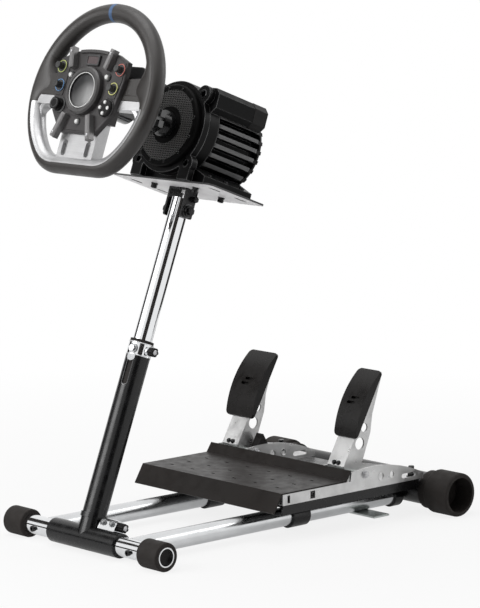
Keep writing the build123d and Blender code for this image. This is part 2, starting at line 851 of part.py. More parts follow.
def heel_plate():
    line = Polyline((heel_front, heel_drop), (heel_bend, heel_top),
                    (heel_rear, heel_top), (lip_rear, lip_top))
    section = make_face(offset(line, heel_sheet, kind=Kind.INTERSECTION, side=Side.RIGHT))
    plate = extrude(section, tray_width)
    plate = Pos(-tray_width / 2, 0, 0) * side_view * plate
    slot = extrude(SlotOverall(heel_slot_length, heel_slot_width), 2 * heel_sheet, both=True)
    first = -(heel_slot_columns - 1) / 2 * heel_slot_pitch
    for share in heel_slot_rows:
        for column in range(heel_slot_columns):
            y = heel_bend + share * (heel_rear - heel_bend)
            plate -= Pos(first + column * heel_slot_pitch, y, heel_top) * slot
    return plate


def bracket_face(top_edge):
    """One side of a pedal bracket: low under the heel plate, high at the pivot, falling to its tail."""
    step = lip_rear + heel_sheet
    low = heel_top - heel_sheet
    outline = Polyline((bracket_rear, bracket_tail), (bracket_rear, tray_top), (tray_front, tray_top),
                       (tray_front, low), (step - heel_sheet, low), (step, bracket_peak))
    cheek = make_face([outline, top_edge])
    middle = (tray_top + low) / 2
    cheek -= Pos(bracket_window_place, middle) * Rectangle(bracket_window_width, bracket_window_height)
    cheek -= Pos(bracket_notch_place, middle) * Rectangle(bracket_notch_width, bracket_window_height)
    return cheek - Pos(pedal_pivot_place, pedal_pivot_height) * Circle(pedal_pin_diameter / 2 + fit_gap)


def pedal_bracket(side):
    """A channel whose left cheek slopes to its tail and whose right cheek is arched and pierced."""
    half = bracket_width / 2
    first = (lip_rear + heel_sheet, bracket_peak)
    last = (bracket_rear, bracket_tail)
    left = bracket_face(Polyline(first, (bracket_shoulder, bracket_peak), last))
    right = bracket_face(ThreePointArc(first, bracket_crown, last))
    for y, hole in bracket_holes:
        right -= Pos(y, bracket_hole_level) * Circle(hole / 2)
    slot = SlotOverall(bracket_slot_length, bracket_slot_width)
    right -= Pos(bracket_slot_place, bracket_slot_level) * slot
    bracket = Pos(-half, 0, 0) * side_view * extrude(left, sheet)
    bracket += Pos(half - sheet, 0, 0) * side_view * extrude(right, sheet)
    bracket += box_between((-half, tray_front, tray_top), (half, bracket_rear, tray_top + sheet))
    return Pos(side * bracket_spacing / 2, 0, 0) * bracket


def pedal_pin(side):
    pin = rod_x(pedal_pin_diameter, bracket_width)
    return Pos(side * bracket_spacing / 2, pedal_pivot_place, pedal_pivot_height) * pin


def pedal_frame(place):
    return Pos(place, pedal_pivot_place, pedal_pivot_height) * Rot(-pedal_lean, 0, 0)


def pedal_arm(place):
    """A folded channel: a front web with two tapering, pierced sides that turn on the pin."""
    root = arm_root_radius
    rear = [(depth - arm_front, level) for level, depth in (arm_thigh, arm_hip, arm_knee)]
    outline = Polyline((-arm_front, 0), (0, -root), (root, 0), *rear,
                       (arm_top_depth - arm_front, arm_top), (-arm_front, arm_top), close=True)
    side = make_face(outline) + Circle(root)
    side -= Circle(pedal_pin_diameter / 2 + pin_gap)
    for level, depth, hole in arm_holes:
        side -= Pos(depth, level) * Circle(hole / 2)
    cheek = side_view * extrude(side, arm_sheet)
    half = arm_width / 2
    arm = Pos(-half, 0, 0) * cheek + Pos(half - arm_sheet, 0, 0) * cheek
    arm += box_between((-half, -arm_front, 0), (half, -arm_front + arm_sheet, arm_top))
    slot = extrude(SlotOverall(arm_foot_slot_length, arm_foot_slot_width), arm_sheet)
    arm -= Pos(0, -arm_front + arm_sheet, arm_foot_slot_level) * Rot(90, 0, 0) * slot
    return pedal_frame(place) * arm


def pedal_pad(place, width):
    """A crowned rubber pad on the upper part of the arm, with two slots across its middle."""
    front = -arm_front - pad_thickness
    edge = front + pad_crown
    pad_end = pad_start + pad_length
    middle = (pad_start + pad_end) / 2
    outline = Polyline((-arm_front, pad_start), (-arm_front, pad_end), (edge, pad_end))
    crown = ThreePointArc((edge, pad_end), (front, middle), (edge, pad_start))
    close = Line((edge, pad_start), (-arm_front, pad_start))
    pad = extrude(make_face([outline, crown, close]), width)
    pad = Pos(-width / 2, 0, 0) * side_view * pad
    block = extrude(RectangleRounded(width, pad_length, pad_round), 2 * pad_thickness, both=True)
    pad &= Pos(0, -arm_front, middle) * Rot(90, 0, 0) * block
    slot = extrude(SlotOverall(pad_slot_length, pad_slot_width), 2 * pad_slot_depth)
    for level in (-1, 1):
        spot = Pos(level * pad_slot_shift, front + pad_slot_depth, middle + level * pad_slot_pitch / 2)
        pad -= spot * Rot(90, 0, 0) * slot
    return pedal_frame(place) * pad


def brake_damper():
    """A rubber wedge on the inside of the brake bracket's right cheek, beside the arm."""
    wall = -bracket_spacing / 2 + bracket_width / 2 - sheet
    floor = tray_top + sheet
    half = stop_length / 2
    outline = Polyline((-half, floor), (half, floor), (half, bracket_peak),
                       (0, bracket_peak + stop_height), (-half, bracket_peak), close=True)
    wedge = side_view * extrude(make_face(outline), stop_width)
    return Pos(wall - stop_width, stop_place, 0) * wedge


pieces = {
    "front_crossbar": front_crossbar(),
    "front_left_foot": front_foot(-1),
    "front_right_foot": front_foot(1),
    "left_rail": rail(-1),
    "right_rail": rail(1),
    "left_rail_socket": rail_socket(-1),
    "right_rail_socket": rail_socket(1),
    "crossbar_plugs": crossbar_plugs(),
    "rear_crossbar": rear_crossbar(),
    "rear_left_foot": rear_foot(-1),
    "rear_right_foot": rear_foot(1),
    "shifter_strip": shifter_strip(),
    "lower_stem": lower_stem(),
    "stem_collar": stem_collar(),
    "collar_seal": collar_seal(),
    "collar_knob": collar_knob(),
    "foot_clamp": foot_clamp(),
    "foot_clamp_knob": foot_clamp_knob(),
    "upper_stem": upper_stem(),
    "tilt_bracket": tilt_bracket(),
    "tilt_bolt": tilt_bolt(),
    "wheel_plate": wheel_plate(),
    "base_housing": base_housing(),
    "base_foot": base_foot(),
    "front_flange": front_flange(),
    "front_cover": front_cover(),
    "rear_cover": rear_cover(),
    "drive_shaft": drive_shaft(),
    "wheel_rim": wheel_rim(),
    "wheel_trim": wheel_trim(),
    "spoke_covers": spoke_covers(),
    "hub_plate": hub_plate(),
    "cap_bezel": cap_bezel(),
    "centre_cap": centre_cap(),
    "rotary_knobs": rotary_knobs(),
    "hub_ribs": hub_ribs(),
    "hub_buttons": hub_buttons(),
    "direction_pad": direction_pad(),
    "joystick": joystick(),
    "display": display(),
    "quick_release": quick_release(),
    "paddle_mount": paddle_mount(),
    "left_paddle": paddle(-1),
    "right_paddle": paddle(1),
    "pedal_tray": pedal_tray(),
    "left_rail_clip": rail_clip(-1),
    "right_rail_clip": rail_clip(1),
    "heel_plate": heel_plate(),
    "brake_bracket": pedal_bracket(-1),
    "throttle_bracket": pedal_bracket(1),
    "brake_pin": pedal_pin(-1),
    "throttle_pin": pedal_pin(1),
    "brake_arm": pedal_arm(brake_place),
    "throttle_arm": pedal_arm(throttle_place),
    "brake_pad": pedal_pad(brake_place, brake_pad_width),
    "throttle_pad": pedal_pad(throttle_place, throttle_pad_width),
    "brake_damper": brake_damper(),
}

# The origin is under the middle of the whole part, on the floor.
boxes = [piece.bounding_box() for piece in pieces.values()]
front_end = min(box.min.Y for box in boxes)
rear_end = max(box.max.Y for box in boxes)
to_origin = Pos(0, -(front_end + rear_end) / 2, 0)

os.makedirs("parts", exist_ok=True)
for name, piece in pieces.items():
    export_step(to_origin * piece, f"parts/{name}.step")
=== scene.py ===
import json
import math

import bmesh
import bpy
from mathutils import Matrix, Vector


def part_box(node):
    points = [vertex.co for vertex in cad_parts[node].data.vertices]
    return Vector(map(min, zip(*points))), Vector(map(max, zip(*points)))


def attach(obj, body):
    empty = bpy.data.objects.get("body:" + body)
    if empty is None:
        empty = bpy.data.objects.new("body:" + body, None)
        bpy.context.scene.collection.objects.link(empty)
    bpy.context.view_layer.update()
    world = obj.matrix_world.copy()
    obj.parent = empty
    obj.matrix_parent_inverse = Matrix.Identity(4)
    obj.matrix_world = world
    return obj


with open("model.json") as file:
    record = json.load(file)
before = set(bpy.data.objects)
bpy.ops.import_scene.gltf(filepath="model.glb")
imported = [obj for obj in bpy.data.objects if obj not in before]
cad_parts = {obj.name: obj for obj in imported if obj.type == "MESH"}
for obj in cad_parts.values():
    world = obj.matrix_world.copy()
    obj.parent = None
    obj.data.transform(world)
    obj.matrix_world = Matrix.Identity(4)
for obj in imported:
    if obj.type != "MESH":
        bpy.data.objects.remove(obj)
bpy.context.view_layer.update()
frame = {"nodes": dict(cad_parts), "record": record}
nodes = frame["nodes"]

# Places of the stand's bodies at rest, in millimetres and radians.
# Y 0 is the front crossbar's axis, Z 0 the floor.
low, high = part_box("front_crossbar")
y_shift = (low.y + high.y) / 2
front_axis = (low.z + high.z) / 2 * 1000
stem_lean = math.radians(21.0)
head_tilt = math.radians(20.0)
pivot_reach = 553.0
plate_height = 36.0
axis_above_plate = 88.0
wheel_reach = 232.0


def move(x, y, z):
    return Matrix.Translation((x / 1000, y / 1000, z / 1000))


def turn(degrees, axis):
    return Matrix.Rotation(math.radians(degrees), 4, axis)


# What is turned or extruded along Z points this way after the turn.
forwards = turn(90, "X")
backwards = turn(-90, "X")
downwards = turn(180, "X")
rightwards = turn(90, "Y")


def outwards(side):
    return turn(side * 90, "Y")


world = Matrix.Translation((0, y_shift, 0))
stem = world @ move(0, 0, front_axis) @ Matrix.Rotation(-stem_lean, 4, "X")
head = stem @ move(0, 0, pivot_reach) @ Matrix.Rotation(stem_lean - head_tilt, 4, "X")
base = head @ move(0, 0, plate_height + axis_above_plate)
face = base @ move(0, -wheel_reach, 0) @ forwards
base_front = base @ forwards
base_rear = base @ backwards


# Materials

class Nodes:
    """A material's node tree, with short calls for the nodes used here."""

    def __init__(self, name):
        self.mat = bpy.data.materials.new(name)
        self.mat.use_nodes = True
        self.tree = self.mat.node_tree
        self.shader = self.tree.nodes["Principled BSDF"]
        self.coords = self.tree.nodes.new("ShaderNodeTexCoord").outputs["Object"]

    def link(self, a, b):
        self.tree.links.new(a, b)

    def mapped(self, location=(0, 0, 0), rotation=(0, 0, 0), scale=(1, 1, 1)):
        """Object coordinates in the frame at this place, then scaled."""
        node = self.tree.nodes.new("ShaderNodeMapping")
        node.vector_type = "TEXTURE"
        node.inputs["Location"].default_value = location
        node.inputs["Rotation"].default_value = rotation
        node.inputs["Scale"].default_value = [1 / s for s in scale]
        self.link(self.coords, node.inputs["Vector"])
        return node.outputs["Vector"]

    def noise(self, scale, detail=3.0, vector=None):
        node = self.tree.nodes.new("ShaderNodeTexNoise")
        node.inputs["Scale"].default_value = scale
        node.inputs["Detail"].default_value = detail
        node.inputs["Roughness"].default_value = 0.55
        self.link(vector or self.coords, node.inputs["Vector"])
        return node.outputs["Fac"]

    def cells(self, scale):
        node = self.tree.nodes.new("ShaderNodeTexVoronoi")
        node.inputs["Scale"].default_value = scale
        self.link(self.coords, node.inputs["Vector"])
        return node.outputs["Distance"]

    def math(self, kind, a, b=None):
        node = self.tree.nodes.new("ShaderNodeMath")
        node.operation = kind
        for value, socket in ((a, node.inputs[0]), (b, node.inputs[1])):
            if value is None:
                continue
            if isinstance(value, (int, float)):
                socket.default_value = value
            else:
                self.link(value, socket)
        return node.outputs[0]

    def product(self, *masks):
        result = masks[0]
        for mask in masks[1:]:
            result = self.math("MULTIPLY", result, mask)
        return result

    def dot(self, a, b):
        node = self.tree.nodes.new("ShaderNodeVectorMath")
        node.operation = "DOT_PRODUCT"
        self.link(a, node.inputs[0])
        if isinstance(b, tuple):
            node.inputs[1].default_value = b
        else:
            self.link(b, node.inputs[1])
        return node.outputs["Value"]

    def split(self, vector):
        node = self.tree.nodes.new("ShaderNodeSeparateXYZ")
        self.link(vector, node.inputs[0])
        return node.outputs

    def span(self, value, low, high, to_low=0.0, to_high=1.0):
        node = self.tree.nodes.new("ShaderNodeMapRange")
        node.inputs["From Min"].default_value = low
        node.inputs["From Max"].default_value = high
        node.inputs["To Min"].default_value = to_low
        node.inputs["To Max"].default_value = to_high
        self.link(value, node.inputs["Value"])
        return node.outputs["Result"]

    def mix(self, fac, a, b):
        node = self.tree.nodes.new("ShaderNodeMix")
        node.data_type = "RGBA"
        self.link(fac, node.inputs["Factor"])
        for value, socket in ((a, node.inputs["A"]), (b, node.inputs["B"])):
            if isinstance(value, tuple):
                socket.default_value = (*value, 1)
            else:
                self.link(value, socket)
        return node.outputs["Result"]

    def colour(self):
        """What feeds the base colour so far."""
        return self.shader.inputs["Base Color"].links[0].from_socket

    def paint(self, socket):
        self.link(socket, self.shader.inputs["Base Color"])

    def bump(self, height, strength, distance):
        node = self.tree.nodes.new("ShaderNodeBump")
        node.inputs["Strength"].default_value = strength
        node.inputs["Distance"].default_value = distance
        self.link(height, node.inputs["Height"])
        normal = self.shader.inputs["Normal"]
        if normal.is_linked:
            self.link(normal.links[0].from_socket, node.inputs["Normal"])
        self.link(node.outputs["Normal"], normal)

    def edges(self, radius):
        """1 along sharp edges, out to this radius in metres, and 0 on flat faces."""
        flat, sharp = 0.97, 0.8
        bevel = self.tree.nodes.new("ShaderNodeBevel")
        bevel.samples = 4
        bevel.inputs["Radius"].default_value = radius
        true_normal = self.tree.nodes.new("ShaderNodeNewGeometry").outputs["True Normal"]
        return self.span(self.dot(bevel.outputs["Normal"], true_normal), flat, sharp)

    def set(self, **values):
        for name, value in values.items():
            self.shader.inputs[name.replace("_", " ")].default_value = value


def shade(colour, share):
    return tuple(min(1.0, c * share) for c in colour)


def plain(name, colour, rough, metal=0.0, tint=0.15, tint_scale=25.0, rough_range=0.08, rough_scale=60.0,
          bump=0.0, bump_scale=900.0, bump_depth=0.0002, **values):
    """A surface with uneven colour and gloss, and a fine grain."""
    n = Nodes(name)
    noise_low, noise_high = 0.3, 0.7
    tone = n.span(n.noise(tint_scale), noise_low, noise_high)
    n.paint(n.mix(tone, shade(colour, 1 - tint), shade(colour, 1 + tint)))
    gloss = n.span(n.noise(rough_scale), noise_low, noise_high, rough - rough_range, rough + rough_range)
    n.link(gloss, n.shader.inputs["Roughness"])
    n.set(Metallic=metal, **values)
    if bump:
        n.bump(n.noise(bump_scale, detail=2.0), bump, bump_depth)
    return n


def base_coords(n, scale=(1, 1, 1)):
    """The material's coordinates along the wheel base: X right, Y along its axis, Z up."""
    return n.mapped(location=tuple(base.translation), rotation=(-head_tilt, 0, 0), scale=scale)


def housing_material():
    """Black anodised metal: the fins' outer faces are worn to grey, and a painted highlight runs along the
    edges.
    """
    n = plain("housing_black", (0.0038, 0.0038, 0.004), 0.36, tint_scale=40, bump=0.12, bump_scale=1400,
              Specular_IOR_Level=0.1)
    worn_grey, edge_highlight_grey = (0.3, 0.3, 0.302), (0.26, 0.26, 0.262)
    # Fins by their place in metres, apart from the flange and the corner posts.
    x, y, z = n.split(base_coords(n))
    radius = n.math("SQRT", n.math("ADD", n.product(x, x), n.product(z, z)))
    fin_tips = n.product(n.span(radius, 0.0745, 0.0765), n.span(radius, 0.0775, 0.078, 1.0, 0.0))
    behind_flange = n.span(y, -0.03, -0.022)
    post = n.product(n.span(z, 0.028, 0.031), n.span(n.math("ABSOLUTE", x), 0.046, 0.05))
    streaks = n.noise(6.0, vector=base_coords(n, scale=(60, 4, 400)))
    worn = n.span(streaks, 0.25, 0.75, 0.45, 1.0)
    faces = n.product(fin_tips, worn, behind_flange, n.math("SUBTRACT", 1.0, post))
    # Painted highlight: grey along the sharp edges, broken up by noise, for the light that the edges catch.
    edge_highlight = n.product(n.edges(0.0024), n.span(n.noise(45.0), 0.3, 0.6, 0.35, 1.0))
    n.paint(n.mix(faces, n.colour(), worn_grey))
    n.paint(n.mix(edge_highlight, n.colour(), edge_highlight_grey))
    return n.mat


def grip_material():
    """Smooth grip cover with a very fine grain."""
    n = plain("rim_grip", (0.0185, 0.0158, 0.0143), 0.42, tint=0.12, tint_scale=14, rough_range=0.06,
              Sheen_Weight=0.05, Sheen_Roughness=0.5)
    n.bump(n.cells(1100.0), strength=0.22, distance=0.0003)
    n.bump(n.noise(220.0), strength=0.12, distance=0.0004)
    return n.mat


def brushed_material(name, colour, rough, along, metal=0.9):
    """Rolled sheet with fine lines along one axis."""
    across_lines, along_lines, line_shade = 900.0, 14.0, 0.72
    stretch = [across_lines] * 3
    stretch["XYZ".index(along)] = along_lines
    n = plain(name, colour, rough, metal=metal, tint=0.1, tint_scale=18, rough_range=0.06)
    lines = n.noise(1.0, detail=4.0, vector=n.mapped(scale=stretch))
    n.paint(n.mix(n.span(lines, 0.35, 0.65, 0.0, 0.45), n.colour(), shade(colour, line_shade)))
    n.bump(lines, strength=0.2, distance=0.00012)
    return n.mat


def blasted_material():
    """Bead-blasted pedal metal: an even grain and an uneven tone."""
    n = plain("pedal_metal", (0.6, 0.6, 0.598), 0.36, metal=0.85, tint=0.16, tint_scale=22, rough_range=0.1)
    n.bump(n.noise(2600.0, detail=2.0), strength=0.35, distance=0.0002)
    return n.mat


def galvanised_material():
    """Zinc plate with soft spangle."""
    n = plain("galvanised", (0.66, 0.7, 0.68), 0.34, metal=0.9, tint=0.08)
    spangle = n.span(n.cells(160.0), 0.0, 0.7, 0.0, 0.5)
    n.paint(n.mix(spangle, n.colour(), (0.5, 0.53, 0.52)))
    return n.mat


def cap_material():
    """Gloss lens over a dark grey disc, with a painted reflection that makes it paler towards its lower
    right.
    """
    n = plain("cap_gloss", (0.016, 0.016, 0.017), 0.34, tint=0.1, rough_range=0.03,
              Coat_Weight=0.15, Coat_Roughness=0.12)
    x, y, _ = n.split(n.mapped(location=tuple(face.translation), rotation=(math.pi / 2 - head_tilt, 0, 0)))
    lower_right = n.math("SUBTRACT", n.math("MULTIPLY", x, 0.6), y)
    # Painted reflection: paler grey towards the disc's lower right.
    n.paint(n.mix(n.span(lower_right, -0.012, 0.034), n.colour(), (0.2, 0.2, 0.2)))
    return n.mat


def plate_material():
    """Light grey coat, with painted shade on the sheet's edge faces."""
    n = plain("plate_grey", (0.74, 0.73, 0.74), 0.42, tint=0.05, tint_scale=12, bump=0.1, bump_scale=900)
    upright = (0, math.sin(head_tilt), math.cos(head_tilt))
    facing = n.dot(n.coords.node.outputs["Normal"], upright)
    flat = n.span(n.math("ABSOLUTE", facing), 0.4, 0.7)
    # Painted shade: faces that don't lie flat, the sheet's edges, are made dark.
    n.paint(n.mix(flat, (0.07, 0.07, 0.072), n.colour()))
    return n.mat


finishes = {
    "chrome": plain("chrome", (0.79, 0.8, 0.81), 0.085, metal=1.0, tint=0.03, rough_range=0.035,
                    rough_scale=35).mat,
    "rail_chrome": plain("rail_chrome", (0.68, 0.69, 0.7), 0.22, metal=1.0, tint=0.06, rough_range=0.05,
                         rough_scale=30).mat,
    "black_steel": plain("black_steel", (0.005, 0.005, 0.0055), 0.25, bump=0.03, bump_scale=700,
                         bump_depth=0.0003, Specular_IOR_Level=0.38).mat,
    "gloss_black": plain("gloss_black", (0.006, 0.006, 0.0065), 0.2, bump=0.05, bump_scale=600,
                         Specular_IOR_Level=0.9, Coat_Weight=0.8, Coat_Roughness=0.12).mat,
    # Painted highlight: a lighter grey metal on the stem's slot lips and the tilt washers, for the bright
    # lines their edges catch.
    "highlight_grey": plain("highlight_grey", (0.09, 0.09, 0.092), 0.28, metal=0.5, tint=0.2, tint_scale=80).mat,
    "screw_steel": brushed_material("screw_steel", (0.55, 0.55, 0.56), 0.3, "X"),
    "clamp_steel": plain("clamp_steel", (0.22, 0.224, 0.228), 0.46, metal=1.0, tint=0.12,
                         tint_scale=60).mat,
    "galvanised": galvanised_material(),
    "plate_grey": plate_material(),
    "pedal_metal": blasted_material(),
    "pedal_rubber": plain("pedal_rubber", (0.0068, 0.0058, 0.0054), 0.3, tint=0.2, tint_scale=12, bump=0.1,
                          bump_scale=1300, Specular_IOR_Level=0.24).mat,
    "heel_black": plain("heel_black", (0.0125, 0.0098, 0.0084), 0.4, tint=0.25, tint_scale=9, bump=0.15,
                        bump_scale=1100, bump_depth=0.0003, Specular_IOR_Level=0.2).mat,
    "black_rubber": plain("black_rubber", (0.0205, 0.0175, 0.016), 0.72, tint=0.18, bump=0.25,
                          bump_scale=1500, bump_depth=0.0003, Specular_IOR_Level=0.25).mat,
    "black_housing": housing_material(),
    "black_plastic": plain("black_plastic", (0.0085, 0.008, 0.008), 0.42, tint=0.2, bump=0.2,
                           bump_scale=1700, bump_depth=0.0003, Specular_IOR_Level=0.16).mat,
    "cover_black": plain("cover_black", (0.002, 0.002, 0.002), 0.5, bump=0.1, bump_scale=1500,
                         Specular_IOR_Level=0.06).mat,
    "mesh_black": plain("mesh_black", (0.06, 0.059, 0.0575), 0.4, bump=0.15, bump_scale=1500).mat,
    "rim_grip": grip_material(),
    "mark_blue": plain("mark_blue", (0.055, 0.12, 0.25), 0.5, bump=0.2, bump_scale=1300).mat,
    "trim_silver": brushed_material("trim_silver", (0.5, 0.5, 0.505), 0.38, "X", metal=0.7),
    "hub_grey": plain("hub_grey", (0.046, 0.043, 0.0435), 0.44, tint=0.14, bump=0.22, bump_scale=1600,
                      bump_depth=0.0003, Specular_IOR_Level=0.3).mat,
    "rib_grey": brushed_material("rib_grey", (0.2, 0.195, 0.195), 0.38, "Z", metal=0.5),
    "bezel_grey": plain("bezel_grey", (0.045, 0.043, 0.043), 0.36, tint=0.12, bump=0.15,
                        bump_scale=1500).mat,
    "cap_gloss": cap_material(),
    "display_glass": plain("display_glass", (0.055, 0.032, 0.034), 0.18, tint=0.2, tint_scale=90,
                           Coat_Weight=0.5).mat,
    "knob_black": plain("knob_black", (0.03, 0.03, 0.031), 0.4, bump=0.2, bump_scale=1500).mat,
    "knob_grip": plain("knob_grip", (0.05, 0.05, 0.05), 0.34, metal=0.3, bump=0.2, bump_scale=1500).mat,
    "button_white": plain("button_white", (0.72, 0.72, 0.71), 0.25, tint=0.05, Coat_Weight=0.4).mat,
    "ring_lime": plain("ring_lime", (0.55, 0.62, 0.2), 0.35, tint=0.1).mat,
    "ring_yellow": plain("ring_yellow", (0.74, 0.74, 0.28), 0.35, tint=0.1).mat,
    "ring_red": plain("ring_red", (0.62, 0.18, 0.15), 0.35, tint=0.1).mat,
    "ring_blue": plain("ring_blue", (0.14, 0.3, 0.55), 0.35, tint=0.1).mat,
}

# CAD nodes whose finish isn't the one named after their slot.
finish_of = {
    "left_rail": "rail_chrome",
    "right_rail": "rail_chrome",
    "heel_plate": "heel_black",
    "front_cover": "cover_black",
    "drive_shaft": "gloss_black",
    "quick_release": "gloss_black",
    "left_paddle": "knob_black",
    "right_paddle": "knob_black",
    "spoke_covers": "rim_grip",
    "hub_ribs": "rib_grey",
    "cap_bezel": "bezel_grey",
    "display": "display_glass",
}
for entry in frame["record"]["subparts"]:
    node = nodes[entry["node"]]
    finish = finishes[finish_of.get(entry["node"], entry["material_slot"])]
    node.data.materials.clear()
    node.data.materials.append(finish)


# Forms that the added pieces are made of, in millimetres

def add(name, data):
    obj = bpy.data.objects.new(name, data)
    bpy.context.scene.collection.objects.link(obj)
    return obj


class Shape:
    """A mesh put together from turned, extruded and lofted forms, in millimetres."""

    def __init__(self):
        self.bm = bmesh.new()

    def vertex(self, matrix, x, y, z):
        return self.bm.verts.new(matrix @ (Vector((x, y, z)) / 1000))

    def bent(self, matrix, point, height, bend):
        """A point at this height, laid round a cylinder about Z where bend gives its radius."""
        x, y = point
        if not bend:
            return self.vertex(matrix, x, y, height)
        reach = bend + height
        return self.vertex(matrix, reach * math.sin(x / bend), -reach * math.cos(x / bend), y)

    def join(self, a, b):
        """A band of faces between two closed rings of as many points each."""
        count = len(a)
        for i in range(count):
            j = (i + 1) % count
            self.bm.faces.new([a[i], a[j], b[j], b[i]])

    def lathe(self, profile, matrix, segments):
        """Turns (radius, height) points about Z. A radius of 0 closes an end."""
        rings = []
        for radius, height in profile:
            count = 1 if radius == 0 else segments
            ring = []
            for i in range(count):
                a = 2 * math.pi * i / segments
                ring.append(self.vertex(matrix, radius * math.cos(a), radius * math.sin(a), height))
            rings.append(ring)
        pairs = list(zip(rings, rings[1:]))
        if profile[0][0] and profile[-1][0]:
            pairs.append((rings[-1], rings[0]))
        for a, b in pairs:
            for i in range(segments):
                j = (i + 1) % segments
                corners = [a[i % len(a)], a[j % len(a)], b[j % len(b)], b[i % len(b)]]
                self.bm.faces.new(list(dict.fromkeys(corners)))
        return self

    def ribbon(self, outer, inner, bottom, top, matrix, bend=0.0, closed=True):
        """A band between two lines that have as many points each."""
        rows = []
        for a, b in zip(outer, inner):
            corners = ((a, bottom), (a, top), (b, top), (b, bottom))
            rows.append([self.bent(matrix, point, height, bend) for point, height in corners])
        for a, b in zip(rows, rows[1:]):
            self.join(a, b)
        if closed:
            self.join(rows[-1], rows[0])
        else:
            self.bm.faces.new(rows[0])
            self.bm.faces.new(rows[-1])
        return self

    def prism(self, outline, bottom, top, matrix, bend=0.0):
        ends = []
        for height in (bottom, top):
            ends.append([self.bent(matrix, point, height, bend) for point in outline])
        self.bm.faces.new(ends[0][::-1])
        self.bm.faces.new(ends[1])
        self.join(*ends)
        return self

    def loft(self, rings, matrix):
        """Closed rings of as many (x, y, z) points each, joined in a row and capped."""
        rows = [[self.vertex(matrix, *spot) for spot in ring] for ring in rings]
        for a, b in zip(rows, rows[1:]):
            self.join(a, b)
        self.bm.faces.new(rows[0])
        self.bm.faces.new(rows[-1])
        return self

    def done(self, name, finish, body, slot, bevel=0.0, segments=2):
        """Makes the piece, with bevelled edges where bevel gives their width."""
        smooth_below, bevel_above = math.radians(35), math.radians(40)
        bmesh.ops.recalc_face_normals(self.bm, faces=self.bm.faces)
        mesh = bpy.data.meshes.new(name)
        self.bm.to_mesh(mesh)
        self.bm.free()
        for facet in mesh.polygons:
            facet.use_smooth = True
        mesh.set_sharp_from_angle(angle=smooth_below)
        mesh.materials.append(finishes[finish])
        obj = add(name, mesh)
        if bevel:
            edge = obj.modifiers.new("edges", "BEVEL")
            edge.width = bevel / 1000
            edge.segments = segments
            edge.limit_method = "ANGLE"
            edge.angle_limit = bevel_above
        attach(obj, body)


def polar(radius, a):
    return radius * math.cos(a), radius * math.sin(a)


def polygon(count, radius, start=0.0):
    return [polar(radius, start + 2 * math.pi * i / count) for i in range(count)]


def mirrored(outline, side):
    """An outline of the right side, or its mirror image for the left one."""
    return [(side * x, z) for x, z in outline][::side]


def rounded(width, height, corner, steps=5):
    """A rectangle with round corners, or with cut ones where steps is 1."""
    points = []
    for right, up, start in ((1, 1, 0), (-1, 1, 90), (-1, -1, 180), (1, -1, 270)):
        for i in range(steps + 1):
            x, y = polar(corner, math.radians(start + 90 * i / steps))
            points.append((right * (width / 2 - corner) + x, up * (height / 2 - corner) + y))
    return points


def bead(shape, matrix, radius, thick, height, segments):
    """A ring with a round section."""
    section = [(radius + x, height + z) for x, z in polygon(count=12, radius=thick)]
    return shape.lathe(section, matrix, segments)


def hex_head(shape, matrix, across, height, washer=0.0):
    """A hexagon head with a rounded crown, on a washer where one is given its diameter."""
    washer_top, washer_edge = 1.4, 0.4
    sunk, crown_top, crown_shoulder = 0.2, 0.9, 0.6
    crown_foot, crown_edge = across / 2 - 0.4, across / 2 - 1.2
    seat = 0.0
    if washer:
        rim = washer / 2
        ring = [(0, 0), (rim, 0), (rim, washer_top - washer_edge), (rim - washer_edge, washer_top),
                (0, washer_top)]
        shape.lathe(ring, matrix, segments=28)
        seat = washer_top - sunk
    crown = [(0, height - sunk), (crown_foot, height - sunk), (crown_edge, height + crown_shoulder),
             (0, height + crown_top)]
    shape.prism(polygon(6, across / 2 / math.cos(math.pi / 6)), seat, height, matrix)
    shape.lathe(crown, matrix, segments=24)


def socket_head(shape, matrix, diameter, height):
    """A round head with a chamfer and a round socket."""
    radius, chamfer = diameter / 2, 0.6
    socket_mouth, socket_foot = radius * 0.52, radius * 0.48
    socket_level, socket_floor = height * 0.45, height * 0.4
    profile = [(0, 0), (radius, 0), (radius, height - chamfer), (radius - chamfer, height),
               (socket_mouth, height), (socket_foot, socket_level), (0, socket_floor)]
    shape.lathe(profile, matrix, segments=24)


# Wheel: on its face X is right, Y up and Z towards the driver

hub_front = 20.0
hub_sunk = hub_front - 0.5


def ring_knob(name, x, z, colour):
    """A coloured ring on a dark skirt, with a fluted grip and its pointer."""
    place = face @ move(x, z, hub_front)
    skirt = [(8.4, -1.0), (10.6, -1.0), (10.4, 2.2), (8.4, 2.4)]
    flute_count, flute_low, flute_high = 18, 5.0, 5.5
    grip_bottom, grip_top = 2.8, 13.3
    pointer_bottom, pointer_top, pointer_shift = 13.2, 13.6, 2.4
    ring = bead(Shape(), place, radius=9.6, thick=0.7, height=2.9, segments=40)
    ring.done(name + "_ring", colour, "wheel", "knob_black")
    valleys = polygon(flute_count, flute_low)
    crests = polygon(flute_count, flute_high, start=math.pi / flute_count)
    flutes = [point for pair in zip(valleys, crests) for point in pair]
    pointer = rounded(width=1.0, height=4.0, corner=0.45)
    grip = Shape().lathe(skirt, place, segments=40)
    grip.prism(flutes, grip_bottom, grip_top, place)
    grip.prism(pointer, pointer_bottom, pointer_top, place @ move(0, pointer_shift, 0))
    grip.done(name + "_grip", "knob_grip", "wheel", "knob_black", bevel=0.3)


ring_knob("upper_left_knob", x=-71, z=38, colour="ring_lime")
ring_knob("upper_right_knob", x=71, z=38, colour="ring_red")
ring_knob("lower_left_knob", x=-65, z=7, colour="ring_blue")
ring_knob("lower_right_knob", x=65, z=7, colour="ring_yellow")

cap_ring = bead(Shape(), face, radius=28.6, thick=0.7, height=hub_front + 9.6, segments=72)
cap_ring.done("cap_ring", "button_white", "wheel", "cap_gloss")

